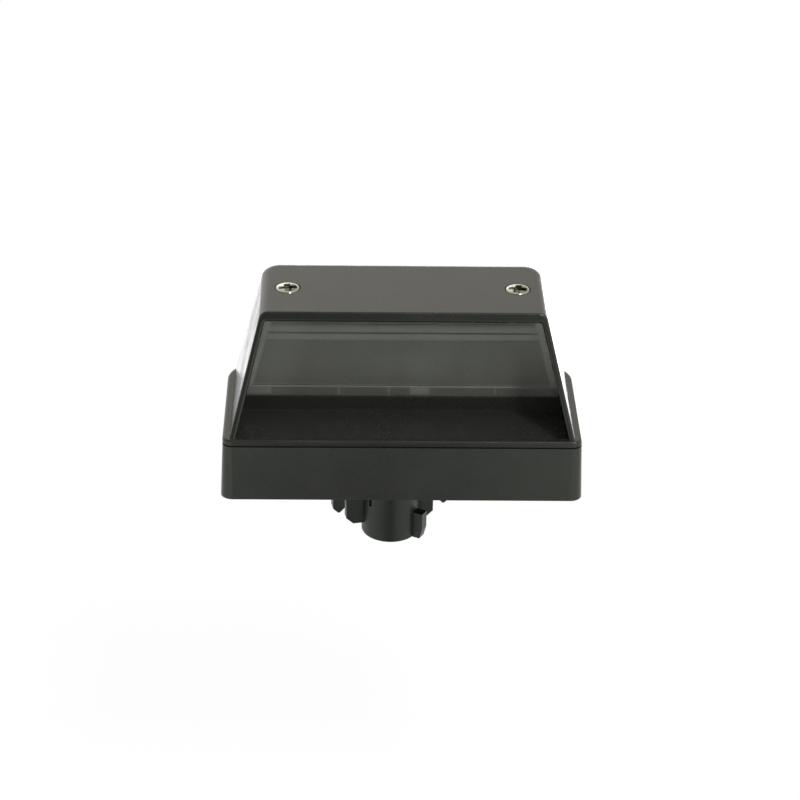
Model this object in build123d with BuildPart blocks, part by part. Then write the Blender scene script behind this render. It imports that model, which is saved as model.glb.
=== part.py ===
from build123d import *
from math import cos, radians, sin, tan
import os

# A number plate lamp: a black hood over a skirted base, with a lens that leans forward inside
# the hood's open front, and a bulb holder that is turned into the base from below.
# X runs across the lamp, -Y is the way the light goes, +Z is up. The origin is midway between
# the two screws, in the plane that the skirt stands on.

# Base
base_width = 110.0
base_depth = 51.5
base_height = 17.9
skirt_flare = 0.75
base_wall = 2.2
deck_thickness = 2.2
deck_step = 0.3
front_corner = 3.0
rear_corner = 10.0
smallest_round = 0.3
boss_radius = 5.0
rib_thickness = 2.0
rib_depth = 8.0

# Hood
seam_gap = 0.6
flange_thickness = 1.8
flange_round = 0.8
ledge_width = 2.2
rear_ledge = 1.6
lip_width = 2.1
hood_rise = 36.6
hood_wall = 2.0
roof_thickness = 3.1
side_lean = 14.5
rear_lean = 0.3
front_rake = 20.3
rake_foot = 0.9
hood_rear_corner = 6.0
hood_edge = 2.8
front_edge_round = 0.8
pillar_radius = 3.4
pocket_wall = 1.6

# Fits
fit_gap = 0.3
slip_gap = 0.1
seal_inset = 0.5

# Screws; an inset is a distance from the base's rear edge
screw_spacing = 71.0
screw_inset = 20.2
shank_radius = 1.8
thread_radius = 2.0
bore_gap = 0.3
stud_length = 12.0
stud_point = 0.6
head_radius = 3.7
head_height = 2.2
head_round = 0.6
head_proud = 0.3
recess_span = 4.6
recess_slot = 1.0
recess_depth = 1.5
recess_taper = 12.0
screw_seal_thickness = 0.8
sleeve_wall = 0.8
retainer_radius = 3.6
retainer_thickness = 0.5
retainer_recess = 1.4
retainer_gap = 0.02

# Lens
rail_inset = 27.5
rail_wall = 0.8
rail_height = 4.55
nib_width = 6.0
nib_thickness = 1.0
nib_height = 2.6
nib_spacing = 41.0
lens_lean = 10.0
lens_thickness = 2.0
lens_seal_thickness = 0.8
lens_corner = 2.5
groove_depth = 0.35
panel_sunk = 0.2
foot_band = 3.4
groove_width = 0.8
main_zone = 17.3
upper_band = 2.6
lens_rib_width = 2.0
lens_rib_thickness = 1.4

# Bulb holder
holder_offset = -2.7
holder_inset = 17.5
holder_turn = 11.0
neck_wall = 2.2
neck_drop = 7.8
stem_radius = 9.9
stem_top_gap = 0.8
holder_flange_radius = 14.4
holder_flange_thickness = 2.0
holder_seal_thickness = 1.2
barrel_radius = 9.3
barrel_length = 20.3
barrel_wall = 1.7
barrel_round = 0.8
socket_depth = 12.0
wing_reach = 13.9
long_wing_reach = 14.8
wing_width = 3.0
wing_drop = 16.3
wing_chamfer_in = 2.3
wing_chamfer_up = 2.1
tab_inner = 15.4
tab_outer = 19.2
tab_width = 3.6
tab_drop = 11.5
tab_chamfer = 1.6
key_reach = 12.4
key_width = 3.2
key_angle = -39.0
key_lift = 0.2
key_top = 11.0
key_chamfer = 0.9
key_slant = 3.4
window_width = 1.1
window_height = 8.2
window_angle = 214.0
lug_reach = 1.6
lug_width = 3.6
lug_height = 2.4
lug_drop = 3.2
track_gap = 0.2
track_sweep = 50.0
track_lead = 14.0
entry_lead = 11.0

# Bulb and contacts
glass_radius = 5.15
glass_wall = 0.7
glass_hole_gap = 0.9
bulb_length = 26.8
foot_width = 9.4
foot_thickness = 2.4
foot_height = 8.6
foot_top_gap = 0.8
lead_radius = 0.25
lead_offset = 2.4
lead_fold = 5.0
filament_height = 15.5
filament_radius = 0.3
filament_arch = 1.1
strip_thickness = 0.6
strip_width = 4.4
strip_flare = 1.0
strip_bend = 0.7
blade_offset = 4.2
blade_end = 2.0
post_width = 1.2
pocket_drop = 4.9

# Reflector
sheet = 0.6
reflector_side_gap = 2.4
reflector_inset = 21.9
reflector_bend = 4.0
reflector_back_gap = 0.6
reflector_roof_gap = 1.0
reflector_roof_drop = 3.0
reflector_screw_edge = 6.0
reflector_screw_inset = 14.9
small_screw_radius = 1.25
small_head_radius = 2.4
small_head_height = 1.4
small_screw_length = 5.0
small_boss_radius = 3.0
small_screw_gap = 0.05

# Levels and lines that follow
rear_y = screw_inset
front_y = rear_y - base_depth
deck_top = base_height + deck_step
deck_under = base_height - deck_thickness
flange_bottom = base_height + seam_gap
flange_top = flange_bottom + flange_thickness
hood_top = flange_top + hood_rise
roof_inside = hood_top - roof_thickness
open_front = front_y - 2 * hood_wall
side_slope = tan(radians(side_lean))
rear_slope = tan(radians(rear_lean))
rail_top = deck_top + rail_height
bore_radius = thread_radius + bore_gap
sleeve_radius = bore_radius + sleeve_wall
pocket_radius = head_radius + fit_gap
pocket_depth = head_height - head_proud + screw_seal_thickness
head_seat = hood_top + head_proud - head_height
neck_radius = stem_radius + fit_gap
stem_top = deck_under - stem_top_gap
holder_flange_top = -neck_drop - holder_seal_thickness
holder_flange_low = holder_flange_top - holder_flange_thickness
barrel_low = holder_flange_low - barrel_length
socket_floor = barrel_low + socket_depth
foot_low = stem_top - foot_height + foot_top_gap
glass_low = foot_low + foot_height
filament_level = foot_low + filament_height
pocket_floor = foot_low - pocket_drop
lug_top = -neck_drop + lug_drop + lug_height
lug_angles = (90, 270)
rail_front = rear_y - rail_inset
reflector_front = rear_y - reflector_inset
reflector_width = screw_spacing - 2 * (pocket_radius + pocket_wall + reflector_side_gap)
reflector_screw_spacing = reflector_width - 2 * reflector_screw_edge


def half_width(height):
    """Half the hood's outer width at a height."""
    return base_width / 2 - ledge_width - (height - flange_top) * side_slope


def footprint(level, grow):
    """The base's outline on a level, grown outwards all round."""
    with BuildSketch(Plane.XY.offset(level)) as outline:
        with Locations((0, (front_y + rear_y) / 2)):
            Rectangle(base_width + 2 * grow, base_depth + 2 * grow)
        fillet(outline.vertices().group_by(Axis.Y)[0], max(front_corner + grow, smallest_round))
        fillet(outline.vertices().group_by(Axis.Y)[-1], max(rear_corner + grow, smallest_round))
    return outline.sketch


def hood_outline(level, height, inset, front):
    """The hood's outline at a height, drawn in by a wall, laid on a level."""
    half = half_width(height) - inset
    rear = rear_y - rear_ledge - (height - flange_top) * rear_slope - inset
    with BuildSketch(Plane.XY.offset(level)) as outline:
        with Locations((0, (front + rear) / 2)):
            Rectangle(2 * half, rear - front)
        fillet(outline.vertices().group_by(Axis.Y)[-1], max(hood_rear_corner - inset, smallest_round))
    return outline.sketch


def screw_circles(level, radius):
    """A circle round each of the two long screws, on a level."""
    with BuildSketch(Plane.XY.offset(level)) as circles:
        with GridLocations(screw_spacing, 0, 2, 1):
            Circle(radius)
    return circles.sketch


def reflector_circles(level, radius):
    """A circle round each of the reflector's two screws, on a level."""
    with BuildSketch(Plane.XY.offset(level)) as circles:
        with Locations((0, rear_y - reflector_screw_inset)):
            with GridLocations(reflector_screw_spacing, 0, 2, 1):
                Circle(radius)
    return circles.sketch


# Planes that the leaning and turned pieces are drawn on
rake_plane = Plane(
    origin=(0, front_y + rake_foot, flange_top),
    x_dir=(1, 0, 0),
    z_dir=(0, -cos(radians(front_rake)), sin(radians(front_rake))),
)
lens_foot = deck_top + lens_seal_thickness
lens_run = (rail_top - lens_foot) * tan(radians(lens_lean))
lens_foot_y = rail_front + rail_wall + slip_gap + lens_run
lens_back_y = lens_foot_y + lens_thickness / cos(radians(lens_lean))
lens_plane = Plane(
    origin=(0, lens_foot_y, lens_foot),
    x_dir=(1, 0, 0),
    z_dir=(0, -cos(radians(lens_lean)), -sin(radians(lens_lean))),
)
lens_rise = roof_inside - fit_gap - lens_foot
lens_length = lens_rise / cos(radians(lens_lean)) - lens_thickness * tan(radians(lens_lean))
holder_frame = Plane(
    origin=(holder_offset, rear_y - holder_inset, 0),
    x_dir=(cos(radians(holder_turn)), sin(radians(holder_turn)), 0),
    z_dir=(0, 0, 1),
)
holder_axis = Axis(holder_frame.origin, (0, 0, 1))


def turned_plane(angle):
    """An upright plane on the holder's axis, its x pointing outwards at an angle from the holder's x."""
    outward = radians(holder_turn + angle)
    return Plane(
        origin=holder_frame.origin,
        x_dir=(cos(outward), sin(outward), 0),
        z_dir=(sin(outward), -cos(outward), 0),
    )


def lens_outline(start, inset):
    """The lens's outline from a distance above its foot, drawn in from the hood's walls, on its plane."""
    shoulder = (flange_top - lens_foot) / cos(radians(lens_lean))
    fall = side_slope * cos(radians(lens_lean))
    wide = half_width(flange_top) - hood_wall - fit_gap - inset
    top = lens_length - inset
    turns = [distance for distance in (start, shoulder, top) if distance >= start]
    right = [(wide - max(distance - shoulder, 0) * fall, distance) for distance in turns]
    left = [(-across, distance) for across, distance in reversed(right)]
    with BuildSketch(lens_plane) as outline:
        with BuildLine():
            Polyline(*right, *left, close=True)
        make_face()
        fillet(outline.vertices().group_by(Axis.Y)[-1], lens_corner)
    return outline


# Base housing: skirt, deck, screw bosses, neck for the bulb holder and the lens's rail
with BuildPart() as base_housing:
    loft(sections=[footprint(0, skirt_flare), footprint(base_height, 0)])
    loft(
        sections=[footprint(0, skirt_flare - base_wall), footprint(deck_under, -base_wall)],
        mode=Mode.SUBTRACT,
    )
    deck_front = front_y + lip_width + fit_gap
    raised_deck = hood_outline(base_height, flange_top, hood_wall + fit_gap, deck_front)
    extrude(to_extrude=raised_deck, amount=deck_step)
    extrude(to_extrude=screw_circles(0, boss_radius), amount=deck_under)
    with BuildSketch(Plane.XY.offset(deck_under)) as boss_ribs:
        with Locations((0, (front_y + rear_y) / 2)):
            with GridLocations(screw_spacing, 0, 2, 1):
                Rectangle(rib_thickness, base_depth - base_wall)
    extrude(amount=-rib_depth)
    extrude(to_extrude=reflector_circles(deck_under, small_boss_radius), amount=-small_screw_length)
    with BuildSketch(holder_frame.offset(-neck_drop)) as neck:
        Circle(neck_radius + neck_wall)
    extrude(amount=neck_drop + deck_under)
    with BuildSketch(holder_frame.offset(-neck_drop)) as neck_bore:
        Circle(neck_radius)
    extrude(amount=neck_drop + deck_under, mode=Mode.SUBTRACT)
    with BuildSketch(holder_frame.offset(deck_under)) as glass_hole:
        Circle(glass_radius + glass_hole_gap)
    extrude(amount=deck_thickness + deck_step, mode=Mode.SUBTRACT)

    # Bayonet tracks in the neck: a way in from below, then a level run to the lug's place
    for lug_angle in lug_angles:
        with BuildSketch(turned_plane(lug_angle - track_lead)) as level_run:
            with Locations((neck_radius, lug_top - lug_height / 2)):
                Rectangle(2 * (lug_reach + track_gap), lug_height + 2 * track_gap)
        revolve(axis=holder_axis, revolution_arc=track_sweep, mode=Mode.SUBTRACT)
        with BuildSketch(turned_plane(lug_angle - track_lead + track_sweep - entry_lead)) as way_in:
            with Locations((neck_radius, (lug_top + track_gap - neck_drop) / 2)):
                Rectangle(2 * (lug_reach + track_gap), lug_top + track_gap + neck_drop)
        extrude(amount=(lug_width + 2 * track_gap) / 2, both=True, mode=Mode.SUBTRACT)

    # Rail in front of the lens, and nibs behind its foot
    rail_half = half_width(rail_top) - hood_wall - fit_gap
    with BuildSketch(Plane.XY.offset(deck_top)) as rail:
        with Locations((0, rail_front + rail_wall / 2)):
            Rectangle(2 * rail_half, rail_wall)
    extrude(amount=rail_height)
    with BuildSketch(Plane.XY.offset(deck_top)) as nibs:
        with Locations((0, lens_back_y + slip_gap + nib_thickness / 2)):
            with GridLocations(nib_spacing, 0, 2, 1):
                Rectangle(nib_width, nib_thickness)
    extrude(amount=nib_height)

    # Bores for the long screws' sleeves and retainers, and for the reflector's screws
    extrude(to_extrude=screw_circles(0, sleeve_radius + retainer_gap), amount=deck_top, mode=Mode.SUBTRACT)
    extrude(
        to_extrude=screw_circles(0, retainer_radius + slip_gap),
        amount=retainer_recess,
        mode=Mode.SUBTRACT,
    )
    extrude(
        to_extrude=reflector_circles(deck_top, small_screw_radius + small_screw_gap),
        amount=-(small_screw_length + sheet),
        mode=Mode.SUBTRACT,
    )
base_housing.part.label = "base_housing"

# Space inside the hood, above its flange
with BuildPart() as hood_hollow:
    loft(
        sections=[
            hood_outline(flange_top, flange_top, hood_wall, open_front),
            hood_outline(roof_inside, roof_inside, hood_wall, open_front),
        ]
    )
    hollow_top = hood_hollow.edges().group_by(Axis.Z)[-1].sort_by(Axis.Y)[1:]
    fillet(hollow_top, max(hood_edge - hood_wall, smallest_round))

# Hood cover: tapered walls, roof and raked front, then the flange and what hangs from the roof
with BuildPart() as hood_cover:
    loft(
        sections=[
            hood_outline(flange_bottom, flange_bottom, 0, open_front),
            hood_outline(hood_top, hood_top, 0, open_front),
        ]
    )
    fillet(hood_cover.edges().group_by(Axis.Z)[-1].sort_by(Axis.Y)[1:], hood_edge)
    split(bisect_by=rake_plane, keep=Keep.BOTTOM)
    add(hood_hollow.part, mode=Mode.SUBTRACT)
    front_edges = hood_cover.faces().filter_by(rake_plane).edges().group_by(Axis.Z)[1:]
    fillet([edge for group in front_edges for edge in group], front_edge_round)
    extrude(to_extrude=footprint(flange_bottom, 0), amount=flange_thickness)
    ledge = hood_cover.faces().filter_by(Axis.Z).filter_by(
        lambda face: abs(face.center().Z - flange_top) < smallest_round
    )
    fillet(ledge.sort_by(SortBy.AREA)[-1].outer_wire().edges(), flange_round)
    extrude(
        to_extrude=hood_outline(flange_top, flange_top, hood_wall, front_y + lip_width),
        amount=-flange_thickness,
        mode=Mode.SUBTRACT,
    )
    extrude(
        to_extrude=screw_circles(deck_top, pillar_radius),
        amount=roof_inside - deck_top + smallest_round,
    )
    extrude(
        to_extrude=screw_circles(hood_top - pocket_depth - pocket_wall, pocket_radius + pocket_wall),
        amount=pocket_depth + pocket_wall - roof_thickness + smallest_round,
    )
    extrude(to_extrude=screw_circles(hood_top, pocket_radius), amount=-pocket_depth, mode=Mode.SUBTRACT)
    extrude(to_extrude=screw_circles(deck_top, bore_radius), amount=hood_top - deck_top, mode=Mode.SUBTRACT)

    # Ribs behind the lens, along the walls and the roof
    rib_start = (rail_top - lens_foot) / cos(radians(lens_lean)) + lens_rib_width
    with BuildSketch(lens_plane.offset(-lens_thickness - slip_gap)) as lens_ribs:
        add(lens_outline(rib_start, -fit_gap - hood_wall / 2).sketch_local)
        add(lens_outline(rib_start, lens_rib_width).sketch_local, mode=Mode.SUBTRACT)
    extrude(amount=-lens_rib_thickness)
hood_cover.part.label = "hood_cover"

# Cover seal: a flat ring between the skirt's top and the hood's flange
with BuildPart() as cover_seal:
    with BuildSketch(Plane.XY.offset(base_height)) as seal_ring:
        add(footprint(base_height, -seal_inset))
        add(
            hood_outline(base_height, flange_top, hood_wall, front_y + lip_width),
            mode=Mode.SUBTRACT,
        )
    extrude(amount=seam_gap)
cover_seal.part.label = "cover_seal"

# Lens: a plate with two bands along its top, a groove between them, and a band along its foot
groove_low = (rail_top - lens_foot) / cos(radians(lens_lean)) + foot_band
main_start = groove_low + groove_width
main_end = main_start + main_zone
upper_groove = main_end + upper_band
with BuildPart() as lens:
    extrude(to_extrude=lens_outline(0, 0).sketch, amount=-lens_thickness)
    with BuildSketch(lens_plane) as grooves:
        for groove in (groove_low, upper_groove):
            with Locations((0, groove + groove_width / 2)):
                Rectangle(base_width, groove_width)
    extrude(amount=-groove_depth, mode=Mode.SUBTRACT)
    with BuildSketch(lens_plane) as main_panel:
        add(lens_outline(main_start, lens_rib_width).sketch_local)
        with Locations((0, (main_start + main_end) / 2)):
            Rectangle(base_width, main_zone, mode=Mode.INTERSECT)
    extrude(amount=-panel_sunk, mode=Mode.SUBTRACT)
lens.part.label = "lens"

# Strip under the lens's foot
with BuildPart() as lens_seal:
    seal_front = rail_front + rail_wall
    with BuildSketch(Plane.XY.offset(deck_top)) as strip:
        with Locations((0, (seal_front + lens_back_y) / 2)):
            Rectangle(2 * rail_half, lens_back_y - seal_front)
    extrude(amount=lens_seal_thickness)
lens_seal.part.label = "lens_seal"

# Long screws, which clamp the hood and the base: a plain shank, and a threaded end that stands
# out below as the lamp's fixing and is too thick to slip back through the retainer
with BuildPart() as cover_screws:
    extrude(to_extrude=screw_circles(head_seat, head_radius), amount=head_height)
    fillet(cover_screws.edges().group_by(Axis.Z)[-1], head_round)
    extrude(to_extrude=screw_circles(0, shank_radius), amount=head_seat)
    extrude(to_extrude=screw_circles(-stud_length, thread_radius), amount=stud_length)
    chamfer(cover_screws.edges().group_by(Axis.Z)[0], stud_point)
    with BuildSketch(Plane.XY.offset(head_seat + head_height)) as cross:
        with GridLocations(screw_spacing, 0, 2, 1):
            Rectangle(recess_span, recess_slot)
            Rectangle(recess_slot, recess_span)
    extrude(amount=-recess_depth, taper=recess_taper, mode=Mode.SUBTRACT)
cover_screws.part.label = "cover_screws"

with BuildPart() as screw_seals:
    seal_low = hood_top - pocket_depth
    extrude(to_extrude=screw_circles(seal_low, head_radius), amount=screw_seal_thickness)
    extrude(
        to_extrude=screw_circles(seal_low, shank_radius + slip_gap),
        amount=screw_seal_thickness,
        mode=Mode.SUBTRACT,
    )
screw_seals.part.label = "screw_seals"

with BuildPart() as spacer_sleeves:
    extrude(to_extrude=screw_circles(retainer_recess, sleeve_radius), amount=deck_top - retainer_recess)
    extrude(
        to_extrude=screw_circles(retainer_recess, bore_radius),
        amount=deck_top - retainer_recess,
        mode=Mode.SUBTRACT,
    )
spacer_sleeves.part.label = "spacer_sleeves"

with BuildPart() as screw_retainers:
    retainer_low = retainer_recess - retainer_thickness
    extrude(to_extrude=screw_circles(retainer_low, retainer_radius), amount=retainer_thickness)
    extrude(
        to_extrude=screw_circles(retainer_low, shank_radius + retainer_gap),
        amount=retainer_thickness,
        mode=Mode.SUBTRACT,
    )
screw_retainers.part.label = "screw_retainers"

# Reflector: one folded sheet, a floor on the deck, a back and a roof over the bulb
hood_back = rear_y - rear_ledge - hood_wall - (roof_inside - flange_top) * rear_slope
reflector_top = roof_inside - reflector_roof_gap
with BuildPart() as reflector:
    with BuildSketch(Plane.YZ) as section:
        with BuildLine() as fold:
            FilletPolyline(
                (reflector_front, deck_top + sheet / 2),
                (hood_back - reflector_back_gap - reflector_roof_drop, deck_top + sheet / 2),
                (hood_back - reflector_back_gap - sheet, reflector_top - reflector_roof_drop),
                (reflector_front, reflector_top),
                radius=reflector_bend,
            )
        trace(fold.line, line_width=sheet)
    extrude(amount=reflector_width / 2, both=True)
    with BuildSketch(holder_frame.offset(deck_top)) as light_hole:
        Circle(glass_radius + glass_hole_gap)
    extrude(amount=sheet, mode=Mode.SUBTRACT)
    extrude(
        to_extrude=reflector_circles(deck_top, small_screw_radius + small_screw_gap),
        amount=sheet,
        mode=Mode.SUBTRACT,
    )
reflector.part.label = "reflector"

with BuildPart() as reflector_screws:
    small_seat = deck_top + sheet
    extrude(to_extrude=reflector_circles(small_seat, small_head_radius), amount=small_head_height)
    fillet(reflector_screws.edges().group_by(Axis.Z)[-1], small_head_height / 2)
    extrude(to_extrude=reflector_circles(small_seat, small_screw_radius), amount=-small_screw_length)
reflector_screws.part.label = "reflector_screws"

# Bulb holder: stem and lugs inside the neck, flange, grip wings, tabs and the plug's socket
with BuildPart() as bulb_holder:
    with BuildSketch(holder_frame.offset(holder_flange_low)) as stem:
        Circle(stem_radius)
    extrude(amount=stem_top - holder_flange_low)
    with BuildSketch(holder_frame.offset(lug_top - lug_height)) as lugs:
        with PolarLocations(stem_radius, len(lug_angles), lug_angles[0]):
            Rectangle(2 * (lug_reach - slip_gap), lug_width)
    extrude(amount=lug_height)
    with BuildSketch(holder_frame.offset(holder_flange_low)) as holder_flange:
        Circle(holder_flange_radius)
        Rectangle(2 * tab_outer, tab_width)
    extrude(amount=holder_flange_thickness)
    with BuildSketch(holder_frame.offset(holder_flange_low)) as tabs:
        with PolarLocations((tab_inner + tab_outer) / 2, 2):
            Rectangle(tab_outer - tab_inner, tab_width)
    extrude(amount=-tab_drop)
    tab_ends = bulb_holder.edges().group_by(Axis.Z)[0]
    chamfer(tab_ends.group_by(SortBy.LENGTH)[0], tab_chamfer)
    with BuildSketch(turned_plane(0)) as wings:
        wing_low = holder_flange_low - wing_drop
        with BuildLine():
            Polyline(
                (wing_reach, holder_flange_low),
                (wing_reach, wing_low + wing_chamfer_up),
                (wing_reach - wing_chamfer_in, wing_low),
                (wing_chamfer_in - long_wing_reach, wing_low),
                (-long_wing_reach, wing_low + wing_chamfer_up),
                (-long_wing_reach, holder_flange_low),
                close=True,
            )
        make_face()
    extrude(amount=wing_width / 2, both=True)
    with BuildSketch(holder_frame.offset(barrel_low)) as barrel:
        Circle(barrel_radius)
    extrude(amount=barrel_length)
    fillet(bulb_holder.edges().group_by(Axis.Z)[0], barrel_round)
    with BuildSketch(turned_plane(key_angle)) as key:
        key_low = barrel_low + key_lift
        with BuildLine():
            Polyline(
                (0, key_low),
                (key_reach - key_chamfer, key_low),
                (key_reach, key_low + key_slant),
                (key_reach, holder_flange_low - key_top),
                (0, holder_flange_low - key_top),
                close=True,
            )
        make_face()
    extrude(amount=key_width / 2, both=True)
    with BuildSketch(holder_frame.offset(barrel_low)) as socket:
        Circle(barrel_radius - barrel_wall)
    extrude(amount=socket_depth, mode=Mode.SUBTRACT)

    # Pocket for the bulb's foot and its contacts, with posts that the foot stands on
    with BuildSketch(holder_frame.offset(pocket_floor)) as pocket:
        Rectangle(foot_width + 2 * slip_gap, 2 * (blade_offset + strip_thickness))
    extrude(amount=stem_top - pocket_floor, mode=Mode.SUBTRACT)
    with BuildSketch(holder_frame.offset(pocket_floor)) as posts:
        with GridLocations(foot_width - post_width, 0, 2, 1):
            Rectangle(post_width, foot_thickness)
    extrude(amount=foot_low - pocket_floor)
    with BuildSketch(holder_frame.offset(socket_floor)) as blade_slots:
        with Locations((lead_offset, -blade_offset), (-lead_offset, blade_offset)):
            Rectangle(strip_width + 2 * slip_gap, strip_thickness + 2 * slip_gap)
    extrude(amount=pocket_floor - socket_floor, mode=Mode.SUBTRACT)
    with BuildSketch(turned_plane(window_angle)) as window:
        with Locations((barrel_radius, holder_flange_low - window_height / 2)):
            Rectangle(2 * barrel_wall, window_height)
    extrude(amount=window_width / 2, both=True, mode=Mode.SUBTRACT)
bulb_holder.part.label = "bulb_holder"

with BuildPart() as holder_seal:
    with BuildSketch(holder_frame.offset(holder_flange_top)) as ring:
        Circle(neck_radius + neck_wall)
        Circle(neck_radius, mode=Mode.SUBTRACT)
    extrude(amount=holder_seal_thickness)
holder_seal.part.label = "holder_seal"


def spring_strip(side):
    """A contact strip: a blade in the plug's socket, a step inwards and a spring against one lead."""
    grip = foot_thickness / 2 + 2 * lead_radius + strip_thickness / 2
    with BuildPart() as strip:
        across = Plane(
            origin=holder_frame.from_local_coords((side * lead_offset, 0, 0)),
            x_dir=holder_frame.y_dir * -side,
            z_dir=holder_frame.x_dir * -side,
        )
        with BuildSketch(across) as section:
            with BuildLine() as path:
                FilletPolyline(
                    (blade_offset, barrel_low + blade_end),
                    (blade_offset, pocket_floor + strip_flare),
                    (grip, foot_low),
                    (grip, foot_low + lead_fold),
                    (grip + strip_flare, glass_low - foot_top_gap),
                    radius=strip_bend,
                )
            trace(path.line, line_width=strip_thickness)
        extrude(amount=strip_width / 2, both=True)
    return strip


contact_live = spring_strip(1)
contact_live.part.label = "contact_live"
contact_earth = spring_strip(-1)
contact_earth.part.label = "contact_earth"

# Bulb: the two leads run down through the pressed foot and fold up along its faces
with BuildPart() as bulb_leads:
    lead_face = foot_thickness / 2 + lead_radius
    for side in (1, -1):
        across = Plane(
            origin=holder_frame.from_local_coords((side * lead_offset, 0, 0)),
            x_dir=holder_frame.y_dir * -side,
            z_dir=holder_frame.x_dir * -side,
        )
        with BuildLine(across) as wire:
            FilletPolyline(
                (0, filament_level - filament_radius),
                (0, foot_low - lead_radius),
                (lead_face, foot_low - lead_radius),
                (lead_face, foot_low + lead_fold),
                radius=2 * lead_radius,
            )
        with BuildSketch(Plane(origin=wire.line @ 0, z_dir=wire.line % 0)):
            Circle(lead_radius)
        sweep(path=wire.line)
bulb_leads.part.label = "bulb_leads"

with BuildPart() as filament:
    with BuildLine() as arch:
        ThreePointArc(
            holder_frame.from_local_coords((-lead_offset - lead_radius, 0, filament_level)),
            holder_frame.from_local_coords((0, 0, filament_level + filament_arch)),
            holder_frame.from_local_coords((lead_offset + lead_radius, 0, filament_level)),
        )
    with BuildSketch(Plane(origin=arch.line @ 0, z_dir=arch.line % 0)):
        Circle(filament_radius)
    sweep(path=arch.line)
filament.part.label = "filament"

with BuildPart() as bulb_glass:
    glass_top = foot_low + bulb_length
    with BuildSketch(turned_plane(0)) as envelope:
        with BuildLine():
            dome = glass_top - glass_radius
            Polyline((0, glass_low), (glass_radius, glass_low), (glass_radius, dome))
            RadiusArc((glass_radius, dome), (0, glass_top), -glass_radius)
            Line((0, glass_top), (0, glass_low))
        make_face()
    revolve(axis=holder_axis)
    with BuildSketch(holder_frame.offset(foot_low)) as foot:
        Rectangle(foot_width, foot_thickness)
    extrude(amount=foot_height)
    with BuildSketch(turned_plane(0)) as cavity:
        with BuildLine():
            inner = glass_radius - glass_wall
            Polyline((0, glass_low + glass_wall), (inner, glass_low + glass_wall), (inner, dome))
            RadiusArc((inner, dome), (0, glass_top - glass_wall), -inner)
            Line((0, glass_top - glass_wall), (0, glass_low + glass_wall))
        make_face()
    revolve(axis=holder_axis, mode=Mode.SUBTRACT)
    add(bulb_leads.part, mode=Mode.SUBTRACT)
bulb_glass.part.label = "bulb_glass"

pieces = [
    base_housing,
    hood_cover,
    cover_seal,
    lens,
    lens_seal,
    cover_screws,
    screw_seals,
    spacer_sleeves,
    screw_retainers,
    reflector,
    reflector_screws,
    bulb_holder,
    holder_seal,
    contact_live,
    contact_earth,
    bulb_leads,
    filament,
    bulb_glass,
]
os.makedirs("parts", exist_ok=True)
for piece in pieces:
    export_step(piece.part, "parts/" + piece.part.label + ".step")
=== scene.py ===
"""Number plate lamp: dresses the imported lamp, and builds the pieces that are finer than its solids."""

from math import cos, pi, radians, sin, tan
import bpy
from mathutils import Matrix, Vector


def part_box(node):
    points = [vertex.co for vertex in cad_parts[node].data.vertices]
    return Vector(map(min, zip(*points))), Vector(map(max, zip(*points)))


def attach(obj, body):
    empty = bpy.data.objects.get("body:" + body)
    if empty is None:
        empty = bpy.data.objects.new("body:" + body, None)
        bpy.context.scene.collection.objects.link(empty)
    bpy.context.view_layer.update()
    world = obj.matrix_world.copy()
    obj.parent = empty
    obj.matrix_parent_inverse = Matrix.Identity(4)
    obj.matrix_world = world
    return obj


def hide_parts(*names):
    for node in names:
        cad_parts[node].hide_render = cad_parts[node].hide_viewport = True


bl_info = {
    "name": "Number plate lamp",
    "version": (1, 0, 0),
    "blender": (4, 5, 0),
    "location": "3D Viewport > Sidebar > Plate lamp",
    "description": "Lens, screws, bulb, finishes and studio for a number plate lamp",
    "category": "Add Mesh",
}

from types import SimpleNamespace

import bpy
import numpy as np
from bpy.props import FloatProperty, FloatVectorProperty, IntProperty, PointerProperty
from mathutils import Matrix, Vector

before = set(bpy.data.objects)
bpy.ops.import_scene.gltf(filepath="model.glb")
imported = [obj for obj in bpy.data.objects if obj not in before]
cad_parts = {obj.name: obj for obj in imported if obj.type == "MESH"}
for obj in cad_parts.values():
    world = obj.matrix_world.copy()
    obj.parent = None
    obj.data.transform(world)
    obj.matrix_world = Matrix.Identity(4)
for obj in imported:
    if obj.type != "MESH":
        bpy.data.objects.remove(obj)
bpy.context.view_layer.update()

MM = 0.001
BODY = "root"
# Edges sharper than this stay sharp on a smooth piece
SHARP_ANGLE = radians(38)

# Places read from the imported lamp
LENS_LOW, LENS_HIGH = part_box("lens")
SCREWS_LOW, SCREWS_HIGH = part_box("cover_screws")
GLASS_LOW, GLASS_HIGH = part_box("bulb_glass")
FILAMENT_LOW, FILAMENT_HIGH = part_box("filament")
BULB_CENTRE = (GLASS_LOW + GLASS_HIGH) / 2


def length(name, description, millimetres):
    """A size that a user can change, kept in metres."""
    metres = millimetres * MM
    return FloatProperty(name=name, description=description, default=metres, unit="LENGTH", precision=5)


def colour(name, description, value):
    """A colour that a user can change, in linear light."""
    kept = {"size": 3, "min": 0, "max": 1, "subtype": "COLOR"}
    return FloatVectorProperty(name=name, description=description, default=value, **kept)


def angle(name, description, degrees):
    """An angle that a user can change."""
    turn = radians(degrees)
    return FloatProperty(name=name, description=description, default=turn, subtype="ANGLE")


def number(name, description, value, low=0.0, high=10.0):
    """A plain number that a user can change."""
    return FloatProperty(name=name, description=description, default=value, min=low, max=high)


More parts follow.
